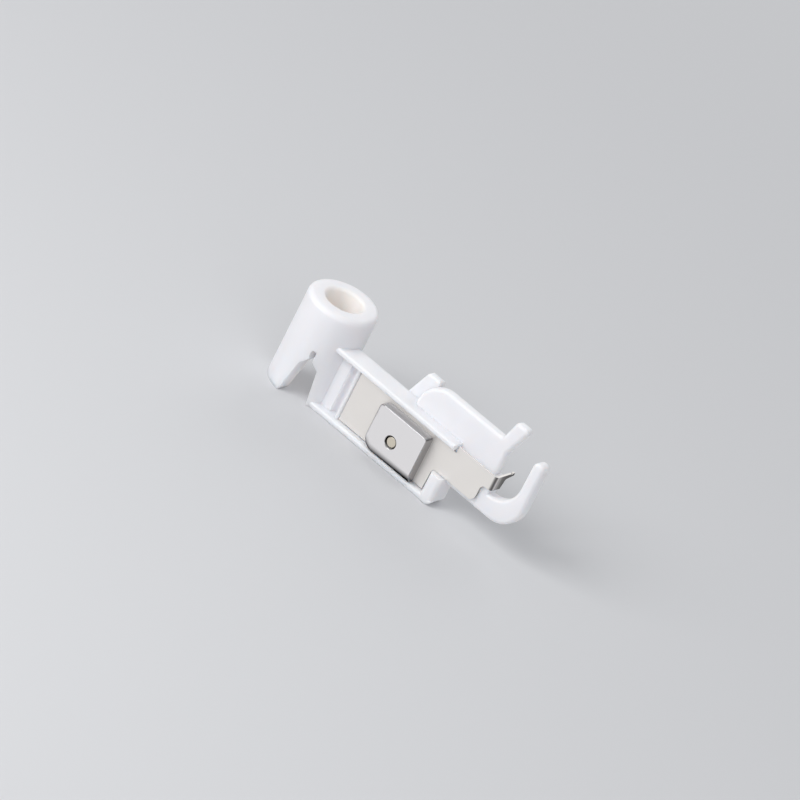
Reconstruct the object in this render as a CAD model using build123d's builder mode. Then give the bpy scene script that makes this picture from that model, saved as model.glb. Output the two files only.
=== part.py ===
from build123d import *
import os

# Needle threader arm: a moulded socket and arm, a hook leaf, a folded clamp and a pin.
# Millimetres. Z is the socket axis with the open end at zero, X runs out along the arm,
# the back of the arm lies on the socket's centre plane and the leaf faces minus Y.

# socket that slides on the threader shaft
tube_radius = 3.8
bore_radius = 2.0
collar_length = 5.05         # closed part of the socket, from its open end down
rim_round = 0.6
bore_round = 0.35

# arm plate behind the leaf
body_bottom = -10.7          # lowest face of the arm and of the spring finger
plate_depth = 1.5            # back face to leaf seat
plate_start = 2.9
channel_end = 19.3
end_corner = 0.7             # round at the lower end of the channel
arm_bottom = -7.95           # lower edge of the arm past the channel
arm_top = -3.75              # upper edge of the leaf seat past the channel

# rails of the channel
rail_depth = 2.5             # back face to rail front
rail_thick = 0.62
rail_start = 2.3
rail_top = -3.28
rail_round = 0.22

# fin with its thread prong
fin_thick = 1.15
fin_start = 12.6
fin_top = 0.1
fin_root = -4.05
fin_end = 24.0
fin_corner = 3.1
fin_soft = 0.35
prong_root = 1.15            # prong width at the fin
prong_tip = 1.75
prong_rise = 2.4
prong_lean = 1.28
prong_soft = 0.42

# hook at the far end that holds the thread
hook_reach = 3.97            # outside of the hook beyond the leaf's tab
hook_floor = -5.75
hook_start = 18.6
finger_width = 1.4
finger_tip = 1.3             # width at the finger's end
finger_soft = 0.6
finger_top = 0.6
hook_corner = 3.1
hook_inner = 2.8
hook_soft = 0.38

# lug on the back of the fin
lug_start = 10.8
lug_base = 2.7
lug_tip = 1.6
lug_lean = 1.15
lug_thick = 1.0
lug_top = -0.3
lug_root = -6.2
lug_soft = 0.3

# end post of the channel
post_start = 18.12
post_end = 19.7
post_top = -7.45
post_round = 0.5

# pocket in the leaf seat and the rib beside it
pocket_start = 4.75
pocket_width = 0.95
pocket_deep = 0.6
pocket_soft = 0.35
rib_width = 0.4
rib_high = 0.4
rib_soft = 0.16
side_gap = 0.08              # air round the edges of the leaf

# slit and bay that free the spring finger
slit_left = 1.05
slit_right = 1.57
slit_top = -4.75
slit_bottom = -5.95
slit_round = 0.45            # end radius as a share of the slit's width
bay_left = 0.42
bay_right = 2.28
bay_top = -6.7
bay_soft = 0.3
tip_edge = -0.42             # edge of the finger at its lower end
wall_edge = 2.65             # edge of the arm at its lower end

# hook leaf
leaf_thick = 0.25
leaf_bottom = -9.98
leaf_upper = -4.25           # upper edge under the top rail
leaf_crest = -3.52           # upper edge past the rail
leaf_step = 19.42
leaf_corner = 17.8
notch_top = -7.38
notch_round = 0.5
lobe_end = 23.45
lobe_round = 0.75
neck_round = 0.6
tab_bottom = -5.15
tab_face = 24.68
tab_gap = 0.03               # air between the plate's end and the tab
tab_end = 1.35               # tip of the tab behind the back face
tab_heel = -0.2              # where the tab narrows to its needle
needle_root = 0.5
needle_tip = 0.3
heel_slope = 0.3
heel_round = 0.25
bend_outer = 0.45
barb_start = 0.45
barb_deep = 0.12

# clamp folded from sheet
clamp_sheet = 0.3
clamp_start = 9.9
clamp_end = 16.25
clamp_top = -4.85
clamp_bottom = -10.0
clamp_stand = 1.15           # clamp face above the leaf
bend_low = 1.1               # wide bend along the lower edge
bend_left = 0.75
bend_far = 0.24
bend_top = 0.2
hole_radius = 0.73
hole_bevel = 0.07
leg_width = 2.0
leg_reach = 0.9              # how far each leg goes into the arm plate
leg_gap = 0.03

# pin that locates the leaf
pin_x = 13.0
pin_z = -7.55
pin_radius = 0.58
pin_sink = 0.12              # pin end below the clamp face
pin_dome = 0.12
pin_gap = 0.05

leaf_face = plate_depth + leaf_thick
clamp_face = leaf_face + clamp_stand
leaf_start = pocket_start + pocket_width + rib_width + side_gap
clamp_mid_z = (clamp_top + clamp_bottom) / 2
tab_inner = tab_face - leaf_thick
plate_end = tab_inner - tab_gap
hook_end = tab_face + hook_reach
bend_inner = bend_outer - leaf_thick


with BuildPart() as body:
    # fin and thread prong, rounded all round before it joins the arm
    with BuildSketch(Plane.XZ):
        with BuildLine():
            Polyline(
                (fin_start, fin_root),
                (fin_start, fin_top),
                (fin_end - prong_root, fin_top),
                (fin_end + prong_lean - prong_tip, fin_top + prong_rise),
                (fin_end + prong_lean, fin_top + prong_rise),
                (fin_end, fin_top - prong_root),
                (fin_end, fin_root),
                close=True,
            )
        make_face()
        fillet(vertices().sort_by_distance((fin_start, fin_top))[0], fin_corner)
        fillet(vertices().sort_by_distance((fin_end - prong_root, fin_top))[0], fin_soft)
        fillet(vertices().group_by(Axis.Y)[-1], prong_soft)
    extrude(amount=fin_thick)
    fillet(edges().filter_by(Axis.Y, reverse=True), fin_soft)

    # thread hook
    with BuildSketch(Plane.XZ):
        with BuildLine():
            Polyline(
                (hook_start, arm_bottom),
                (hook_end, arm_bottom),
                (hook_end, finger_top),
                (hook_end - finger_tip, finger_top),
                (hook_end - finger_width, hook_floor),
                (hook_start, hook_floor),
                close=True,
            )
        make_face()
        fillet(vertices().sort_by_distance((hook_end, arm_bottom))[0], hook_corner)
        fillet(vertices().sort_by_distance((hook_end - finger_width, hook_floor))[0], hook_inner)
        fillet(vertices().group_by(Axis.Y)[-1], finger_soft)
    extrude(amount=plate_depth)
    fillet(edges(Select.LAST).filter_by(Axis.Y, reverse=True), hook_soft)

    # lug on the back
    with BuildSketch(Plane.XZ):
        with BuildLine():
            Polyline(
                (lug_start, lug_root),
                (lug_start, rail_top),
                (lug_start + lug_lean, lug_top),
                (lug_start + lug_lean + lug_tip, lug_top),
                (lug_start + lug_base, rail_top),
                (lug_start + lug_base, lug_root),
                close=True,
            )
        make_face()
    extrude(amount=-lug_thick)
    fillet(edges(Select.LAST).group_by(Axis.Z)[-1], lug_soft)

    # socket
    with BuildSketch(Plane.XY):
        Circle(tube_radius)
    extrude(amount=body_bottom)
    fillet(faces().sort_by_distance((0, 0, 0))[0].edges(), rim_round)

    # arm plate
    with BuildSketch(Plane.XZ):
        with BuildLine():
            Polyline(
                (plate_start, body_bottom),
                (post_end, body_bottom),
                (post_end, hook_floor - hook_soft),
                (plate_end, hook_floor - hook_soft),
                (plate_end, arm_top),
                (channel_end, arm_top),
                (channel_end, rail_top),
                (plate_start, rail_top),
                close=True,
            )
        make_face()
    extrude(amount=plate_depth)

    # the plate's far edge is rounded inside the leaf's bend
    plate_edges = edges(Select.LAST).filter_by(Axis.Z)
    fillet(plate_edges.sort_by_distance((plate_end, -plate_depth, arm_top))[0], bend_inner)

    # rails
    with BuildSketch(Plane.YZ.offset(rail_start)):
        with Locations((0, rail_top)):
            Rectangle(rail_depth, rail_thick, align=(Align.MAX, Align.MAX))
        fillet(vertices().group_by(Axis.X)[0], rail_round)
    extrude(amount=channel_end - rail_start)
    with BuildSketch(Plane.YZ.offset(rail_start)):
        with Locations((0, body_bottom)):
            Rectangle(rail_depth, rail_thick, align=(Align.MAX, Align.MIN))
        fillet(vertices().group_by(Axis.X)[0], rail_round)
    extrude(amount=post_end - rail_start)

    # end post
    with BuildSketch(Plane.XY.offset(body_bottom)):
        with Locations((post_start, 0)):
            Rectangle(post_end - post_start, rail_depth, align=(Align.MIN, Align.MAX))
        fillet(vertices().group_by(Axis.Y)[0], post_round)
    extrude(amount=post_top - body_bottom)

    # rib that stops the leaf on the socket side
    with BuildSketch(Plane.XZ):
        with Locations((pocket_start + pocket_width, body_bottom)):
            Rectangle(rib_width, rail_top - body_bottom, align=(Align.MIN, Align.MIN))
    extrude(amount=plate_depth + rib_high)
    fillet(edges(Select.LAST).filter_by(Axis.Z).group_by(Axis.Y)[0], rib_soft)

    # pocket beside the rib
    with BuildSketch(Plane.XZ.offset(plate_depth)):
        with Locations((pocket_start, body_bottom + rail_thick)):
            Rectangle(
                pocket_width,
                rail_top - body_bottom - rail_thick - rail_thick,
                align=(Align.MIN, Align.MIN),
            )
    extrude(amount=-pocket_deep, mode=Mode.SUBTRACT)
    fillet(edges(Select.LAST).filter_by(Axis.Z).group_by(Axis.Y)[-1], pocket_soft)

    # round at the lower end of the channel
    with BuildSketch(Plane.XZ):
        with Locations((post_end, body_bottom)):
            Rectangle(end_corner, end_corner, align=(Align.MAX, Align.MIN))
        with Locations((post_end - end_corner, body_bottom + end_corner)):
            Circle(end_corner, mode=Mode.SUBTRACT)
    extrude(amount=rail_depth, mode=Mode.SUBTRACT)

    # bore through the socket
    with BuildSketch(Plane.XY):
        Circle(bore_radius)
    extrude(amount=body_bottom, mode=Mode.SUBTRACT)
    fillet(edges(Select.LAST).filter_by(GeomType.CIRCLE).sort_by(Axis.Z)[-1], bore_round)

    # the lower part of the socket is open at the back
    with BuildSketch(Plane.XY.offset(-collar_length)):
        Rectangle(tube_radius + tube_radius, tube_radius, align=(Align.CENTER, Align.MIN))
    extrude(amount=body_bottom + collar_length, mode=Mode.SUBTRACT)

    # slit and bay beside the spring finger
    with BuildSketch(Plane.XZ):
        with BuildLine():
            Polyline(
                (slit_left, slit_top),
                (slit_right, slit_top),
                (slit_right, slit_bottom),
                (bay_right, bay_top),
                (wall_edge, body_bottom),
                (tip_edge, body_bottom),
                (bay_left, bay_top),
                (slit_left, slit_bottom),
                close=True,
            )
        make_face()
        bay_rows = vertices().group_by(Axis.Y)
        fillet(bay_rows[1] + bay_rows[2], bay_soft)
        fillet(vertices().group_by(Axis.Y)[-1], (slit_right - slit_left) * slit_round)
    extrude(amount=tube_radius, mode=Mode.SUBTRACT)

    # holes for the pin and the clamp legs
    with BuildSketch(Plane.XZ):
        with Locations((pin_x, pin_z)):
            Circle(pin_radius)
    extrude(amount=plate_depth, mode=Mode.SUBTRACT)
    with BuildSketch(Plane.XZ.offset(plate_depth)):
        with Locations(
            (clamp_start + clamp_sheet / 2, clamp_mid_z),
            (clamp_end - clamp_sheet / 2, clamp_mid_z),
        ):
            Rectangle(clamp_sheet + leg_gap + leg_gap, leg_width + leg_gap + leg_gap)
    extrude(amount=-leg_reach - leg_gap, mode=Mode.SUBTRACT)
body.part.label = "body"


with BuildPart() as leaf:
    # flat blade
    with BuildSketch(Plane.XZ.offset(plate_depth)):
        with BuildLine():
            Polyline(
                (leaf_start, leaf_bottom),
                (leaf_corner, leaf_bottom),
                (leaf_corner + side_gap, notch_top),
                (lobe_end, notch_top),
                (lobe_end, tab_bottom),
                (tab_face - bend_outer, tab_bottom),
                (tab_face - bend_outer, leaf_crest),
                (leaf_step, leaf_crest),
                (leaf_step, leaf_upper),
                (leaf_start, leaf_upper),
                close=True,
            )
        make_face()
        fillet(vertices().sort_by_distance((leaf_corner + side_gap, notch_top))[0], notch_round)
        fillet(vertices().sort_by_distance((lobe_end, notch_top))[0], lobe_round)
        fillet(vertices().sort_by_distance((lobe_end, tab_bottom))[0], neck_round)
    extrude(amount=leaf_thick)

    # bend and tab
    with BuildSketch(Plane.XY.offset(tab_bottom)):
        with BuildLine():
            Polyline(
                (tab_face - bend_outer - bend_outer, -leaf_face),
                (tab_face, -leaf_face),
                (tab_face, tab_end),
                (tab_inner, tab_end),
                (tab_inner, -plate_depth),
                (tab_face - bend_outer - bend_outer, -plate_depth),
                close=True,
            )
        make_face()
        fillet(vertices().sort_by_distance((tab_face, -leaf_face))[0], bend_outer)
        fillet(vertices().sort_by_distance((tab_inner, -plate_depth))[0], bend_inner)
    extrude(amount=leaf_crest - tab_bottom)

    # the tab narrows to a needle with a barb behind its tip
    with BuildSketch(Plane.YZ.offset(tab_inner)):
        with BuildLine():
            Polyline(
                (tab_heel, tab_bottom),
                (tab_heel + heel_slope, leaf_crest - needle_root),
                (tab_end, leaf_crest - needle_tip),
                (tab_end, tab_bottom),
                close=True,
            )
        make_face()
        fillet(vertices().sort_by_distance((tab_heel + heel_slope, leaf_crest - needle_root))[0], heel_round)
        with Locations((tab_end - barb_start, leaf_crest)):
            Circle(barb_deep)
    extrude(amount=leaf_thick, mode=Mode.SUBTRACT)

    # openings for the pin and the clamp legs
    with BuildSketch(Plane.XZ.offset(plate_depth)):
        with Locations((pin_x, pin_z)):
            Circle(pin_radius + pin_gap)
        with Locations(
            (clamp_start + clamp_sheet / 2, clamp_mid_z),
            (clamp_end - clamp_sheet / 2, clamp_mid_z),
        ):
            Rectangle(clamp_sheet + leg_gap + leg_gap, leg_width + leg_gap + leg_gap)
    extrude(amount=leaf_thick, mode=Mode.SUBTRACT)
leaf.part.label = "hook_leaf"


with BuildPart() as clamp_core:
    # space inside the clamp
    with BuildSketch(Plane.YZ.offset(clamp_start + clamp_sheet)):
        with Locations((-leaf_face, clamp_bottom + clamp_sheet)):
            Rectangle(
                clamp_stand - clamp_sheet,
                clamp_top - clamp_bottom - clamp_sheet - clamp_sheet,
                align=(Align.MAX, Align.MIN),
            )
        fillet(vertices().sort_by_distance((-clamp_face, clamp_bottom))[0], bend_low - clamp_sheet)
    extrude(amount=clamp_end - clamp_start - clamp_sheet - clamp_sheet)
    fillet(faces().sort_by(Axis.X)[0].edges().sort_by(Axis.Y)[:-1], bend_left - clamp_sheet)


with BuildPart() as clamp:
    # pressed box: a wide bend below, a smaller one on the socket side, crisp bends elsewhere
    with BuildSketch(Plane.YZ.offset(clamp_start)):
        with Locations((-leaf_face, clamp_bottom)):
            Rectangle(clamp_stand, clamp_top - clamp_bottom, align=(Align.MAX, Align.MIN))
        fillet(vertices().sort_by_distance((-clamp_face, clamp_bottom))[0], bend_low)
    extrude(amount=clamp_end - clamp_start)
    fillet(faces().sort_by(Axis.X)[0].edges().sort_by(Axis.Y)[:-1], bend_left)
    far_edges = faces().sort_by(Axis.X)[-1].edges().sort_by(Axis.Y)[:-1]
    fillet(far_edges.sort_by(Axis.Z)[:-1], bend_far)
    fillet(faces().sort_by(Axis.Z)[-1].edges().sort_by(Axis.Y)[0], bend_top)
    add(clamp_core.part, mode=Mode.SUBTRACT)

    # legs staked into the arm
    with BuildSketch(Plane.XZ.offset(leaf_face)):
        with Locations(
            (clamp_start + clamp_sheet / 2, clamp_mid_z),
            (clamp_end - clamp_sheet / 2, clamp_mid_z),
        ):
            Rectangle(clamp_sheet, leg_width)
    extrude(amount=-leaf_thick - leg_reach)

    # hole over the pin
    with BuildSketch(Plane.XZ.offset(leaf_face)):
        with Locations((pin_x, pin_z)):
            Circle(hole_radius)
    extrude(amount=clamp_stand, mode=Mode.SUBTRACT)
    chamfer(edges(Select.LAST).group_by(Axis.Y)[0], hole_bevel)
clamp.part.label = "clamp"


with BuildPart() as pin:
    with BuildSketch(Plane.XZ):
        with Locations((pin_x, pin_z)):
            Circle(pin_radius)
    extrude(amount=clamp_face - pin_sink)
    fillet(edges().group_by(Axis.Y)[0], pin_dome)
pin.part.label = "pin"

os.makedirs("parts", exist_ok=True)
for piece in (body.part, leaf.part, clamp.part, pin.part):
    export_step(piece, "parts/" + piece.label + ".step")
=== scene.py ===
from math import pi

import bpy
from mathutils import Matrix, Vector


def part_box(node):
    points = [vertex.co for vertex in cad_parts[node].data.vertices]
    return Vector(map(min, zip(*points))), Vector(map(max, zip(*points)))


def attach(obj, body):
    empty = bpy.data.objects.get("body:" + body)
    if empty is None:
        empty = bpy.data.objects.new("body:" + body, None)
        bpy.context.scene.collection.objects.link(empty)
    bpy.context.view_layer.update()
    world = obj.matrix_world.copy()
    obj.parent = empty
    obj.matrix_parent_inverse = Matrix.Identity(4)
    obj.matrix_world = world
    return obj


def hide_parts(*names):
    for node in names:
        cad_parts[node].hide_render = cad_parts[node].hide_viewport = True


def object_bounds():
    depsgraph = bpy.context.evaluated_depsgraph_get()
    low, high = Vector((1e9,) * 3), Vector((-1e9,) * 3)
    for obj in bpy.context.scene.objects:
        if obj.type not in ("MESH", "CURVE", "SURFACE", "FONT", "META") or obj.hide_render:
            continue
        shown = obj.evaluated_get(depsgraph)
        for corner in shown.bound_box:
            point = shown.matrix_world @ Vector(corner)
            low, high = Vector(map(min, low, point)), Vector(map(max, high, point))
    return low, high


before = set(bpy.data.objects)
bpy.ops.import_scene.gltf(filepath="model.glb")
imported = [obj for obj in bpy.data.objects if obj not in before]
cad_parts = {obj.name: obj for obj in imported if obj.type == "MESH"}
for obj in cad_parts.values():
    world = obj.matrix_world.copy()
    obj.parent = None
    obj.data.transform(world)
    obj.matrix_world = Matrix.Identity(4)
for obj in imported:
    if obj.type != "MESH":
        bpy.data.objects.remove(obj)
cad_low, cad_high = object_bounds()

MM = 0.001

# Viewpoint: directions of the picture's top and of the viewer, in the part's own frame
PICTURE_UP = Vector((-0.592, 0.176, 0.787))
TO_VIEWER = Vector((0.389, -0.792, 0.470))
VIEW_CENTRE = Vector((10.91, -1.03, -4.18)) * MM
FRAME_WIDTH = 79.2 * MM
LENS_MM = 600.0
SENSOR_MM = 36.0
CLIP_START = 0.01

# White moulding: texture scales per metre, and how far round the bore its painted warm light reaches
CLOUD_SCALE = 260.0
CLOUD_DETAIL = 3.0
SPARK_SCALE = 5200.0
SPARK_DETAIL = 2.0
BORE_RADIUS = 2.0 * MM
BORE_PAINTED_LIGHT_FULL = 1.02
BORE_PAINTED_LIGHT_END = 1.2

# Steel: texture scales per metre
ROLLED_SCALE = 420.0
ROLLED_DETAIL = 4.0
PATCH_SCALE = 190.0
PATCH_DETAIL = 2.0
EDGE_SAMPLES = 6

# Bent tab of the leaf, in mm: where it starts, its front and back, and the tone by depth of its painted
# reflection bands
TAB_START_MM = 24.1
TAB_FRONT_MM = -1.75
TAB_BACK_MM = 0.25
TAB_PAINTED_BANDS = [
    (-1.67, 0.20),
    (-1.60, 0.11),
    (-1.51, 0.20),
    (-1.42, 0.62),
    (-1.28, 0.58),
    (-1.18, 0.39),
    (-0.92, 0.35),
    (-0.70, 0.18),
    (-0.40, 0.13),
    (0.0, 0.105),
]
TAB_WARMTH = (1.0, 0.97, 0.95)
TAB_TURN_START = 0.15
TAB_TURN_END = 0.7

# Clamp's painted shade: its colour darkened by the way its surface faces, from -1 to 1 along Z and
# along X
RISE_PAINTED_SHADE = [
    (-1.0, 0.05),
    (-0.857, 0.06),
    (-0.682, 0.12),
    (-0.5, 0.26),
    (-0.35, 0.46),
    (-0.222, 0.68),
    (-0.108, 0.89),
    (0.0, 0.97),
    (0.3, 0.85),
    (0.6, 0.5),
    (1.0, 0.54),
]
SIDE_PAINTED_SHADE = [
    (-1.0, 0.50),
    (-0.6, 1.0),
    (0.4, 1.0),
    (0.75, 0.44),
    (1.0, 0.56),
]
TOP_WALL_METAL = 0.15
TOP_WALL_START = 0.4
TOP_WALL_FULL = 0.9

# Pressed clamp, in mm: how far it goes past the plain box, its corners, bends and hole
CLAMP_WIDER = 0.25
CLAMP_LOWER = 0.06
CLAMP_HIGHER = 0.23
CORNER_LOW = 1.3
CORNER_HIGH = 0.9
CORNER_FAR = 0.35
BEND_LOW = 1.08
BEND_LEFT = 0.75
BEND_HIGH = 0.1
BEND_FAR = 0.12
BEND_STEPS = 8
HOLE_RADIUS = 0.69
HOLE_BEVEL = 0.05
HOLE_SIDES = 64
FACING_FRONT = -0.9
SAME_PLACE = 0.005 * MM
MERGE_REACH = 0.0005 * MM
SMOOTH_ANGLE = 0.6
EVEN_WEIGHT = 100

# Floor and room
FLOOR_HALF = 3.0
FLOOR_ROUGHNESS = 0.9
FADE_NEAR = 0.08
FADE_FAR = 0.26
FLOOR_TONE = (0.67, 0.675, 0.69)
ROOM_TONE = (0.97, 0.98, 1.0)
ROOM_STRENGTH = 0.52
SEEN_TONE = (0.62, 0.625, 0.64)
MIRRORED_TONE = (0.88, 0.88, 0.89)

# Lamps: name, direction from the part, distance in m, size in m, power in W
LAMPS = [
    ("key", (-0.46, -0.70, 0.64), 0.3, 0.21, 0.51),
    ("fill", (0.65, -0.7, 0.55), 0.6, 0.4, 0.45),
    ("back", (-0.2, 0.85, 0.5), 0.6, 0.4, 0.5),
]


# Shared surface effects
SKIN_OUTPUTS = [
    ("Colour", "NodeSocketColor"),
    ("Roughness", "NodeSocketFloat"),
    ("Height", "NodeSocketFloat"),
]


def new_group(name, inputs, outputs):
    """A node group with named sockets."""
    group = bpy.data.node_groups.new(name, "ShaderNodeTree")
    for label, kind, value in inputs:
        socket = group.interface.new_socket(label, in_out="INPUT", socket_type=kind)
        socket.default_value = value
    for label, kind in outputs:
        group.interface.new_socket(label, in_out="OUTPUT", socket_type=kind)
    return group


def add_noise(nodes, scale, detail):
    noise = nodes.new("ShaderNodeTexNoise")
    noise.inputs["Scale"].default_value = scale
    noise.inputs["Detail"].default_value = detail
    return noise


def add_colour_mix(nodes):
    mix = nodes.new("ShaderNodeMix")
    mix.data_type = "RGBA"
    return mix


def add_soft_range(nodes):
    soft = nodes.new("ShaderNodeMapRange")
    soft.interpolation_type = "SMOOTHSTEP"
    return soft


def make_moulded_skin():
    """Faint cloudiness, a fine spark-eroded texture and painted light inside the bore: a lighter,
    warmer colour there.
    """
    group = new_group(
        "moulded_skin",
        [
            ("Light Colour", "NodeSocketColor", (0.8, 0.8, 0.8, 1.0)),
            ("Deep Colour", "NodeSocketColor", (0.7, 0.7, 0.7, 1.0)),
            ("Bore Painted Light", "NodeSocketColor", (0.8, 0.8, 0.8, 1.0)),
            ("Bore Radius", "NodeSocketFloat", 0.002),
            ("Smooth", "NodeSocketFloat", 0.3),
            ("Rough", "NodeSocketFloat", 0.45),
        ],
        SKIN_OUTPUTS,
    )
    nodes, links = group.nodes, group.links
    entry = nodes.new("NodeGroupInput")
    leave = nodes.new("NodeGroupOutput")
    place = nodes.new("ShaderNodeTexCoord")
    cloud = add_noise(nodes, CLOUD_SCALE, CLOUD_DETAIL)
    spark = add_noise(nodes, SPARK_SCALE, SPARK_DETAIL)
    tint = add_colour_mix(nodes)
    sheen = nodes.new("ShaderNodeMapRange")
    links.new(place.outputs["Object"], cloud.inputs["Vector"])
    links.new(place.outputs["Object"], spark.inputs["Vector"])
    links.new(cloud.outputs["Fac"], tint.inputs["Factor"])
    links.new(entry.outputs["Light Colour"], tint.inputs["A"])
    links.new(entry.outputs["Deep Colour"], tint.inputs["B"])
    links.new(spark.outputs["Fac"], sheen.inputs["Value"])
    links.new(entry.outputs["Smooth"], sheen.inputs["To Min"])
    links.new(entry.outputs["Rough"], sheen.inputs["To Max"])

    # distance from the bore's axis, in bore radii, fades in the bore's painted warm light
    flat = nodes.new("ShaderNodeVectorMath")
    flat.operation = "MULTIPLY"
    flat.inputs[1].default_value = (1.0, 1.0, 0.0)
    reach = nodes.new("ShaderNodeVectorMath")
    reach.operation = "LENGTH"
    ratio = nodes.new("ShaderNodeMath")
    ratio.operation = "DIVIDE"
    inside = nodes.new("ShaderNodeMapRange")
    inside.inputs["From Min"].default_value = BORE_PAINTED_LIGHT_END
    inside.inputs["From Max"].default_value = BORE_PAINTED_LIGHT_FULL
    bore = add_colour_mix(nodes)
    links.new(place.outputs["Object"], flat.inputs[0])
    links.new(flat.outputs["Vector"], reach.inputs[0])
    links.new(reach.outputs["Value"], ratio.inputs[0])
    links.new(entry.outputs["Bore Radius"], ratio.inputs[1])
    links.new(ratio.outputs["Value"], inside.inputs["Value"])
    links.new(inside.outputs["Result"], bore.inputs["Factor"])
    links.new(tint.outputs["Result"], bore.inputs["A"])
    links.new(entry.outputs["Bore Painted Light"], bore.inputs["B"])

    links.new(bore.outputs["Result"], leave.inputs["Colour"])
    links.new(sheen.outputs["Result"], leave.inputs["Roughness"])
    links.new(spark.outputs["Fac"], leave.inputs["Height"])
    return group


def make_drawn_steel():
    """Fine rolling lines, slow changes of tone, and two tones of painted shade: a darker colour for
    faces turned away from Shade Direction.
    """
    group = new_group(
        "drawn_steel",
        [
            ("Light Colour", "NodeSocketColor", (0.8, 0.8, 0.8, 1.0)),
            ("Deep Colour", "NodeSocketColor", (0.7, 0.7, 0.7, 1.0)),
            ("Smooth", "NodeSocketFloat", 0.2),
            ("Rough", "NodeSocketFloat", 0.4),
            ("Stretch", "NodeSocketVector", (1.0, 20.0, 20.0)),
            ("Shade Colour", "NodeSocketColor", (0.3, 0.3, 0.3, 1.0)),
            ("Shade Direction", "NodeSocketVector", (0.0, 1.0, 0.0)),
            ("Shade From", "NodeSocketFloat", 0.9),
            ("Shade To", "NodeSocketFloat", 0.5),
            ("Wall Colour", "NodeSocketColor", (0.3, 0.3, 0.3, 1.0)),
            ("Wall From", "NodeSocketFloat", 0.4),
            ("Wall To", "NodeSocketFloat", 0.05),
        ],
        SKIN_OUTPUTS,
    )
    nodes, links = group.nodes, group.links
    entry = nodes.new("NodeGroupInput")
    leave = nodes.new("NodeGroupOutput")
    place = nodes.new("ShaderNodeTexCoord")
    stretch = nodes.new("ShaderNodeVectorMath")
    stretch.operation = "MULTIPLY"
    lines = add_noise(nodes, ROLLED_SCALE, ROLLED_DETAIL)
    patch = add_noise(nodes, PATCH_SCALE, PATCH_DETAIL)
    tint = add_colour_mix(nodes)
    polish = nodes.new("ShaderNodeMapRange")
    links.new(place.outputs["Object"], stretch.inputs[0])
    links.new(entry.outputs["Stretch"], stretch.inputs[1])
    links.new(stretch.outputs["Vector"], lines.inputs["Vector"])
    links.new(place.outputs["Object"], patch.inputs["Vector"])
    links.new(patch.outputs["Fac"], tint.inputs["Factor"])
    links.new(entry.outputs["Light Colour"], tint.inputs["A"])
    links.new(entry.outputs["Deep Colour"], tint.inputs["B"])
    links.new(lines.outputs["Fac"], polish.inputs["Value"])
    links.new(entry.outputs["Smooth"], polish.inputs["To Min"])
    links.new(entry.outputs["Rough"], polish.inputs["To Max"])

    # Painted shade: the colour darkens in two steps, Shade then Wall, as the surface normal turns away
    # from Shade Direction.
    along = nodes.new("ShaderNodeVectorMath")
    along.operation = "DOT_PRODUCT"
    links.new(place.outputs["Normal"], along.inputs[0])
    links.new(entry.outputs["Shade Direction"], along.inputs[1])
    colour = tint.outputs["Result"]
    for tone in ("Shade", "Wall"):
        turn = add_soft_range(nodes)
        darker = add_colour_mix(nodes)
        links.new(along.outputs["Value"], turn.inputs["Value"])
        links.new(entry.outputs[tone + " From"], turn.inputs["From Min"])
        links.new(entry.outputs[tone + " To"], turn.inputs["From Max"])
        links.new(turn.outputs["Result"], darker.inputs["Factor"])
        links.new(colour, darker.inputs["A"])
        links.new(entry.outputs[tone + " Colour"], darker.inputs["B"])
        colour = darker.outputs["Result"]

    links.new(colour, leave.inputs["Colour"])
    links.new(polish.outputs["Result"], leave.inputs["Roughness"])
    links.new(lines.outputs["Fac"], leave.inputs["Height"])
    return group


MOULDED_SKIN = make_moulded_skin()
DRAWN_STEEL = make_drawn_steel()


# Materials
def surface(name, group, values, shader_values, bump_mm, bump_strength, edge_mm):
    """A material from one shared effect, with a fine bump and slightly broken edges."""
    material = bpy.data.materials.new(name)
    material.use_nodes = True
    nodes, links = material.node_tree.nodes, material.node_tree.links
    shader = nodes["Principled BSDF"]
    for label, value in shader_values.items():
        shader.inputs[label].default_value = value
    skin = nodes.new("ShaderNodeGroup")
    skin.node_tree = group
    for label, value in values.items():
        skin.inputs[label].default_value = value
    bump = nodes.new("ShaderNodeBump")
    bump.inputs["Strength"].default_value = bump_strength
    bump.inputs["Distance"].default_value = bump_mm * MM
    edge = nodes.new("ShaderNodeBevel")
    edge.samples = EDGE_SAMPLES
    edge.inputs["Radius"].default_value = edge_mm * MM
    links.new(edge.outputs["Normal"], bump.inputs["Normal"])
    links.new(skin.outputs["Colour"], shader.inputs["Base Color"])
    links.new(skin.outputs["Roughness"], shader.inputs["Roughness"])
    links.new(skin.outputs["Height"], bump.inputs["Height"])
    links.new(bump.outputs["Normal"], shader.inputs["Normal"])
    return material


def set_tones(ramp, tones, start, end, tint=(1.0, 1.0, 1.0)):
    """Gives a colour ramp its stops, from pairs of place and tone between start and end."""
    stops = ramp.color_ramp.elements
    while len(stops) < len(tones):
        stops.new(1.0)
    for stop, (spot, tone) in zip(stops, tones):
        stop.position = (spot - start) / (end - start)
        stop.color = (*(tone * share for share in tint), 1.0)


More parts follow.
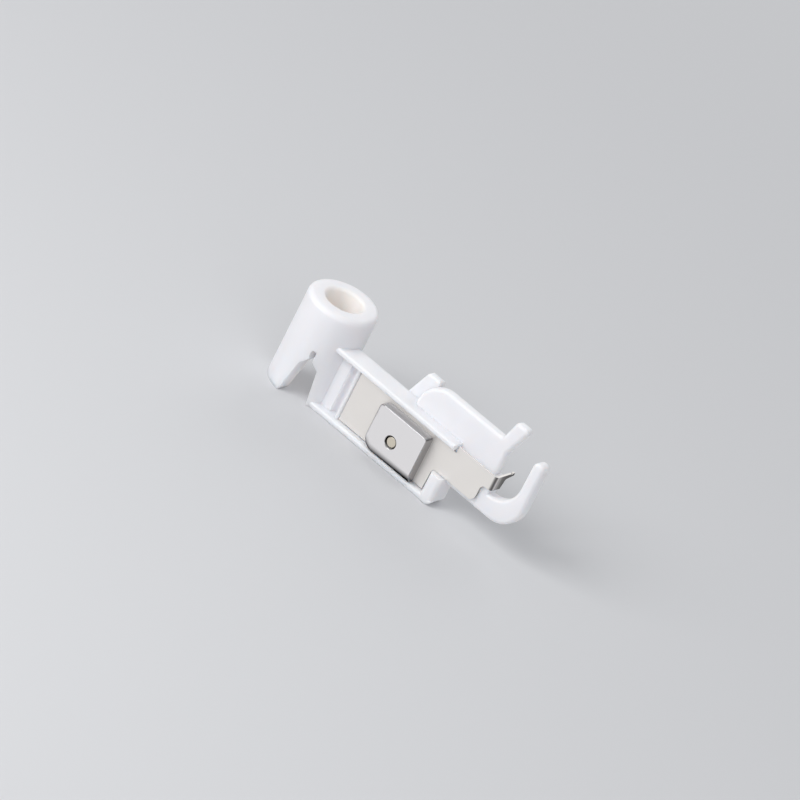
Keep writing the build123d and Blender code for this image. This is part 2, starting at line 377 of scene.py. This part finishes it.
def shade_bent_tab(material):
    """Painted reflection on the curled tab, in bands: a dark line at the bend, a pale band as a painted
    highlight, a dark needle.
    """
    nodes, links = material.node_tree.nodes, material.node_tree.links
    shader = nodes["Principled BSDF"]
    plain = shader.inputs["Base Color"].links[0].from_socket
    place = nodes.new("ShaderNodeTexCoord")
    spot = nodes.new("ShaderNodeSeparateXYZ")
    facing = nodes.new("ShaderNodeSeparateXYZ")
    links.new(place.outputs["Object"], spot.inputs["Vector"])
    links.new(place.outputs["Normal"], facing.inputs["Vector"])

    depth = nodes.new("ShaderNodeMapRange")
    depth.inputs["From Min"].default_value = TAB_FRONT_MM * MM
    depth.inputs["From Max"].default_value = TAB_BACK_MM * MM
    bands = nodes.new("ShaderNodeValToRGB")
    set_tones(bands, TAB_PAINTED_BANDS, TAB_FRONT_MM, TAB_BACK_MM, TAB_WARMTH)
    links.new(spot.outputs["Y"], depth.inputs["Value"])
    links.new(depth.outputs["Result"], bands.inputs["Fac"])

    turned = add_soft_range(nodes)
    turned.inputs["From Min"].default_value = TAB_TURN_START
    turned.inputs["From Max"].default_value = TAB_TURN_END
    past = nodes.new("ShaderNodeMath")
    past.operation = "GREATER_THAN"
    past.inputs[1].default_value = TAB_START_MM * MM
    on_tab = nodes.new("ShaderNodeMath")
    on_tab.operation = "MULTIPLY"
    mix = add_colour_mix(nodes)
    links.new(facing.outputs["X"], turned.inputs["Value"])
    links.new(spot.outputs["X"], past.inputs[0])
    links.new(turned.outputs["Result"], on_tab.inputs[0])
    links.new(past.outputs["Value"], on_tab.inputs[1])
    links.new(on_tab.outputs["Value"], mix.inputs["Factor"])
    links.new(plain, mix.inputs["A"])
    links.new(bands.outputs["Color"], mix.inputs["B"])
    links.new(mix.outputs["Result"], shader.inputs["Base Color"])


def shade_clamp(material):
    """Painted shade: the clamp's bends get a darker colour towards the rail below, and its walls are
    duller than its face.
    """
    nodes, links = material.node_tree.nodes, material.node_tree.links
    shader = nodes["Principled BSDF"]
    colour = shader.inputs["Base Color"].links[0].from_socket
    place = nodes.new("ShaderNodeTexCoord")
    facing = nodes.new("ShaderNodeSeparateXYZ")
    links.new(place.outputs["Normal"], facing.inputs["Vector"])
    for axis, tones in (("Z", RISE_PAINTED_SHADE), ("X", SIDE_PAINTED_SHADE)):
        spread = nodes.new("ShaderNodeMapRange")
        spread.inputs["From Min"].default_value = -1.0
        spread.inputs["From Max"].default_value = 1.0
        ramp = nodes.new("ShaderNodeValToRGB")
        set_tones(ramp, tones, -1.0, 1.0)
        darker = add_colour_mix(nodes)
        darker.blend_type = "MULTIPLY"
        darker.inputs["Factor"].default_value = 1.0
        links.new(facing.outputs[axis], spread.inputs["Value"])
        links.new(spread.outputs["Result"], ramp.inputs["Fac"])
        links.new(colour, darker.inputs["A"])
        links.new(ramp.outputs["Color"], darker.inputs["B"])
        colour = darker.outputs["Result"]
    # The painted shade goes into both the base colour and the specular tint.
    links.new(colour, shader.inputs["Base Color"])
    links.new(colour, shader.inputs["Specular Tint"])

    dull = add_soft_range(nodes)
    dull.inputs["From Min"].default_value = TOP_WALL_START
    dull.inputs["From Max"].default_value = TOP_WALL_FULL
    dull.inputs["To Min"].default_value = 1.0
    dull.inputs["To Max"].default_value = TOP_WALL_METAL
    links.new(facing.outputs["Z"], dull.inputs["Value"])
    links.new(dull.outputs["Result"], shader.inputs["Metallic"])


white_moulding = surface(
    "white_moulding",
    MOULDED_SKIN,
    {
        "Light Colour": (0.86, 0.86, 0.885, 1.0),
        "Deep Colour": (0.83, 0.83, 0.86, 1.0),
        # Painted light: the bore's inner wall gets a lighter, warmer colour.
        "Bore Painted Light": (0.95, 0.90, 0.875, 1.0),
        "Bore Radius": BORE_RADIUS,
        "Smooth": 0.40,
        "Rough": 0.52,
    },
    {
        "Subsurface Weight": 0.8,
        "Subsurface Radius": (1.0, 0.88, 0.82),
        "Subsurface Scale": 1.2 * MM,
        "Specular IOR Level": 0.5,
    },
    bump_mm=0.004,
    bump_strength=0.15,
    edge_mm=0.08,
)
leaf_steel = surface(
    "leaf_steel",
    DRAWN_STEEL,
    {
        "Light Colour": (0.87, 0.845, 0.82, 1.0),
        "Deep Colour": (0.82, 0.795, 0.765, 1.0),
        "Smooth": 0.42,
        "Rough": 0.56,
        "Stretch": (1.0, 22.0, 22.0),
        # Painted shade: faces turned towards +X, the leaf's cut edges and tab, get a darker colour.
        "Shade Colour": (0.60, 0.58, 0.56, 1.0),
        "Shade Direction": (-1.0, 0.0, 0.0),
        "Shade From": -0.15,
        "Shade To": -0.7,
        "Wall Colour": (0.48, 0.465, 0.45, 1.0),
        "Wall From": -0.6,
        "Wall To": -0.95,
    },
    {"Metallic": 0.9},
    bump_mm=0.002,
    bump_strength=0.12,
    edge_mm=0.03,
)
shade_bent_tab(leaf_steel)
clamp_steel = surface(
    "clamp_steel",
    DRAWN_STEEL,
    {
        "Light Colour": (0.86, 0.85, 0.86, 1.0),
        "Deep Colour": (0.81, 0.80, 0.81, 1.0),
        "Smooth": 0.16,
        "Rough": 0.26,
        "Stretch": (1.0, 6.0, 1.0),
        # Shade and Wall colours equal the face colour, so the group paints no shade here; shade_clamp
        # paints the clamp's shade.
        "Shade Colour": (0.84, 0.83, 0.84, 1.0),
        "Wall Colour": (0.84, 0.83, 0.84, 1.0),
    },
    {"Metallic": 1.0},
    bump_mm=0.002,
    bump_strength=0.06,
    edge_mm=0.04,
)
shade_clamp(clamp_steel)
pin_steel = surface(
    "pin_steel",
    DRAWN_STEEL,
    {
        "Light Colour": (0.72, 0.67, 0.57, 1.0),
        "Deep Colour": (0.60, 0.55, 0.46, 1.0),
        "Smooth": 0.30,
        "Rough": 0.45,
        "Stretch": (4.0, 1.0, 4.0),
        # Painted shade: the pin's sides, turned away from its end face, get darker colours.
        "Shade Colour": (0.62, 0.58, 0.50, 1.0),
        "Shade Direction": (0.0, -1.0, 0.0),
        "Shade From": 0.92,
        "Shade To": 0.45,
        "Wall Colour": (0.45, 0.42, 0.36, 1.0),
    },
    {"Metallic": 0.9},
    bump_mm=0.004,
    bump_strength=0.2,
    edge_mm=0.04,
)

FINISHES = {
    "body": white_moulding,
    "hook_leaf": leaf_steel,
    "clamp": clamp_steel,
    "pin": pin_steel,
}
for node_name, finish in FINISHES.items():
    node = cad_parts[node_name]
    node.data.materials.clear()
    node.data.materials.append(finish)


# Pressed clamp over the leaf
def select_only(piece):
    bpy.ops.object.select_all(action="DESELECT")
    piece.select_set(True)
    bpy.context.view_layer.objects.active = piece


def select_corner(mesh, corner_x, corner_z):
    """In edit mode, selects the edge that runs from front to back at one corner of the outline."""
    bpy.ops.mesh.select_mode(type="EDGE")
    bpy.ops.mesh.select_all(action="DESELECT")
    bpy.ops.object.mode_set(mode="OBJECT")
    for edge in mesh.edges:
        ends = [mesh.vertices[index].co for index in edge.vertices]
        edge.select = all(
            abs(end.x - corner_x) < SAME_PLACE and abs(end.z - corner_z) < SAME_PLACE for end in ends
        )
    bpy.ops.object.mode_set(mode="EDIT")


def weigh_bends(mesh, front, middle_x, middle_z):
    """Marks the edges round the face with their share of the widest bend."""
    weights = mesh.attributes.new("bevel_weight_edge", "FLOAT", "EDGE")
    for edge in mesh.edges:
        start, end = (mesh.vertices[index].co for index in edge.vertices)
        if abs(start.y - front) > SAME_PLACE or abs(end.y - front) > SAME_PLACE:
            continue
        middle = (start + end) / 2
        along = end - start
        share = abs(along.x) / along.length
        level = BEND_LOW if middle.z < middle_z else BEND_HIGH
        side = BEND_LEFT if middle.x < middle_x else BEND_FAR
        weights.data[edge.index].value = (share * level + (1.0 - share) * side) / BEND_LOW


def make_drill(front, back, centre_x, centre_z):
    """A round cutter whose flared front end breaks the hole's rim."""
    start = front + HOLE_BEVEL * MM
    depth = 2.0 * (back - front)
    bpy.ops.object.select_all(action="DESELECT")
    bpy.ops.mesh.primitive_cylinder_add(
        vertices=HOLE_SIDES,
        radius=HOLE_RADIUS * MM,
        depth=depth,
        location=(centre_x, start + depth / 2, centre_z),
        rotation=(pi / 2, 0.0, 0.0),
    )
    drill = bpy.context.object
    bpy.ops.object.transform_apply(location=True, rotation=True, scale=True)
    bpy.ops.object.mode_set(mode="EDIT")
    bpy.ops.mesh.select_mode(type="FACE")
    bpy.ops.mesh.select_all(action="DESELECT")
    bpy.ops.object.mode_set(mode="OBJECT")
    for face in drill.data.polygons:
        face.select = face.normal.y < FACING_FRONT
    bpy.ops.object.mode_set(mode="EDIT")
    flare = (HOLE_RADIUS + 2.0 * HOLE_BEVEL) / HOLE_RADIUS
    bpy.ops.mesh.extrude_region_move(
        TRANSFORM_OT_translate={"value": (0.0, -2.0 * HOLE_BEVEL * MM, 0.0)}
    )
    bpy.ops.transform.resize(value=(flare, 1.0, flare))
    bpy.ops.object.mode_set(mode="OBJECT")
    return drill


def make_pressed_clamp():
    """Box with round corners towards the socket, a wide bend below and a hole for the pin."""
    box_low, box_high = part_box("clamp")
    pin_low, pin_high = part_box("pin")
    leaf_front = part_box("hook_leaf")[0][1]
    left, right = box_low[0], box_high[0] + CLAMP_WIDER * MM
    front, back = box_low[1], leaf_front
    low, high = box_low[2] - CLAMP_LOWER * MM, box_high[2] + CLAMP_HIGHER * MM
    middle_x, middle_z = (left + right) / 2, (low + high) / 2
    pin_x, pin_z = (pin_low[0] + pin_high[0]) / 2, (pin_low[2] + pin_high[2]) / 2

    bpy.ops.object.select_all(action="DESELECT")
    bpy.ops.mesh.primitive_cube_add(size=1.0)
    clamp = bpy.context.object
    clamp.name = "pressed_clamp"
    clamp.scale = (right - left, back - front, high - low)
    clamp.location = (middle_x, (front + back) / 2, middle_z)
    bpy.ops.object.transform_apply(location=True, rotation=True, scale=True)

    bpy.ops.object.mode_set(mode="EDIT")
    for corner_x, corner_z, corner_round in (
        (left, low, CORNER_LOW),
        (left, high, CORNER_HIGH),
        (right, high, CORNER_FAR),
    ):
        select_corner(clamp.data, corner_x, corner_z)
        bpy.ops.mesh.bevel(offset=corner_round * MM, segments=BEND_STEPS, affect="EDGES")
    bpy.ops.object.mode_set(mode="OBJECT")

    weigh_bends(clamp.data, front, middle_x, middle_z)
    bend = clamp.modifiers.new("bends", "BEVEL")
    bend.limit_method = "WEIGHT"
    bend.width = BEND_LOW * MM
    bend.segments = BEND_STEPS
    bend.use_clamp_overlap = False
    bpy.ops.object.modifier_apply(modifier=bend.name)

    drill = make_drill(front, back, pin_x, pin_z)
    select_only(clamp)
    hole = clamp.modifiers.new("hole", "BOOLEAN")
    hole.operation = "DIFFERENCE"
    hole.object = drill
    bpy.ops.object.modifier_apply(modifier=hole.name)
    bpy.data.objects.remove(drill)

    bpy.ops.object.mode_set(mode="EDIT")
    bpy.ops.mesh.select_all(action="SELECT")
    bpy.ops.mesh.remove_doubles(threshold=MERGE_REACH)
    bpy.ops.mesh.normals_make_consistent(inside=False)
    bpy.ops.object.mode_set(mode="OBJECT")
    bpy.ops.object.shade_smooth_by_angle(angle=SMOOTH_ANGLE)
    even = clamp.modifiers.new("even_face", "WEIGHTED_NORMAL")
    even.weight = EVEN_WEIGHT
    even.keep_sharp = True
    bpy.ops.object.modifier_apply(modifier=even.name)

    clamp.data.materials.clear()
    clamp.data.materials.append(clamp_steel)
    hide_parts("clamp")
    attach(clamp, "root")


make_pressed_clamp()


# Floor, room, lamps and camera
def make_floor():
    """A pale floor that runs into the room far from the part and that the steel mirrors as pale."""
    bpy.ops.object.select_all(action="DESELECT")
    bpy.ops.mesh.primitive_plane_add(size=2.0 * FLOOR_HALF, location=(0.0, 0.0, cad_low[2]))
    floor = bpy.context.object
    floor.name = "floor"
    material = bpy.data.materials.new("pale_floor")
    material.use_nodes = True
    nodes, links = material.node_tree.nodes, material.node_tree.links
    shader = nodes["Principled BSDF"]
    shader.inputs["Base Color"].default_value = (*FLOOR_TONE, 1.0)
    shader.inputs["Roughness"].default_value = FLOOR_ROUGHNESS
    rays = nodes.new("ShaderNodeLightPath")

    place = nodes.new("ShaderNodeTexCoord")
    reach = nodes.new("ShaderNodeVectorMath")
    reach.operation = "LENGTH"
    far = add_soft_range(nodes)
    far.inputs["From Min"].default_value = FADE_NEAR
    far.inputs["From Max"].default_value = FADE_FAR
    seen_far = nodes.new("ShaderNodeMath")
    seen_far.operation = "MULTIPLY"
    pale = nodes.new("ShaderNodeEmission")
    pale.inputs["Color"].default_value = (*SEEN_TONE, 1.0)
    fade = nodes.new("ShaderNodeMixShader")
    links.new(place.outputs["Object"], reach.inputs[0])
    links.new(reach.outputs["Value"], far.inputs["Value"])
    links.new(far.outputs["Result"], seen_far.inputs[0])
    links.new(rays.outputs["Is Camera Ray"], seen_far.inputs[1])
    links.new(seen_far.outputs["Value"], fade.inputs["Fac"])
    links.new(shader.outputs["BSDF"], fade.inputs[1])
    links.new(pale.outputs["Emission"], fade.inputs[2])

    glow = nodes.new("ShaderNodeEmission")
    glow.inputs["Color"].default_value = (*MIRRORED_TONE, 1.0)
    choose = nodes.new("ShaderNodeMixShader")
    links.new(rays.outputs["Is Glossy Ray"], choose.inputs["Fac"])
    links.new(fade.outputs["Shader"], choose.inputs[1])
    links.new(glow.outputs["Emission"], choose.inputs[2])
    links.new(choose.outputs["Shader"], nodes["Material Output"].inputs["Surface"])
    floor.data.materials.append(material)


def make_room():
    """Even light from all round, with its own pale tone where the camera sees it."""
    world = bpy.data.worlds.new("studio_room")
    bpy.context.scene.world = world
    world.use_nodes = True
    nodes, links = world.node_tree.nodes, world.node_tree.links
    backdrop = nodes["Background"]
    backdrop.inputs["Color"].default_value = (*ROOM_TONE, 1.0)
    backdrop.inputs["Strength"].default_value = ROOM_STRENGTH
    seen = nodes.new("ShaderNodeBackground")
    seen.inputs["Color"].default_value = (*SEEN_TONE, 1.0)
    rays = nodes.new("ShaderNodeLightPath")
    choose = nodes.new("ShaderNodeMixShader")
    links.new(rays.outputs["Is Camera Ray"], choose.inputs["Fac"])
    links.new(backdrop.outputs["Background"], choose.inputs[1])
    links.new(seen.outputs["Background"], choose.inputs[2])
    links.new(choose.outputs["Shader"], nodes["World Output"].inputs["Surface"])


def make_lamp(name, direction, distance, size, power):
    """A round soft lamp aimed at the part."""
    data = bpy.data.lights.new(name, "AREA")
    data.shape = "DISK"
    data.size = size
    data.energy = power
    lamp = bpy.data.objects.new(name, data)
    bpy.context.scene.collection.objects.link(lamp)
    aim = Vector(direction).normalized()
    lamp.location = VIEW_CENTRE + aim * distance
    lamp.rotation_euler = aim.to_track_quat("Z", "Y").to_euler()


def make_camera():
    """A long lens at the photograph's viewing angle."""
    data = bpy.data.cameras.new("camera")
    data.lens = LENS_MM
    data.sensor_width = SENSOR_MM
    data.sensor_fit = "HORIZONTAL"
    data.clip_start = CLIP_START
    camera = bpy.data.objects.new("camera", data)
    bpy.context.scene.collection.objects.link(camera)
    back = TO_VIEWER.normalized()
    right = PICTURE_UP.cross(back).normalized()
    up = back.cross(right)
    distance = FRAME_WIDTH * LENS_MM / SENSOR_MM
    turn = Matrix((right, up, back)).transposed().to_4x4()
    camera.matrix_world = Matrix.Translation(VIEW_CENTRE + back * distance) @ turn
    bpy.context.scene.camera = camera


make_floor()
make_room()
for lamp_row in LAMPS:
    make_lamp(*lamp_row)
make_camera()

bpy.context.scene.view_settings.view_transform = "Standard"
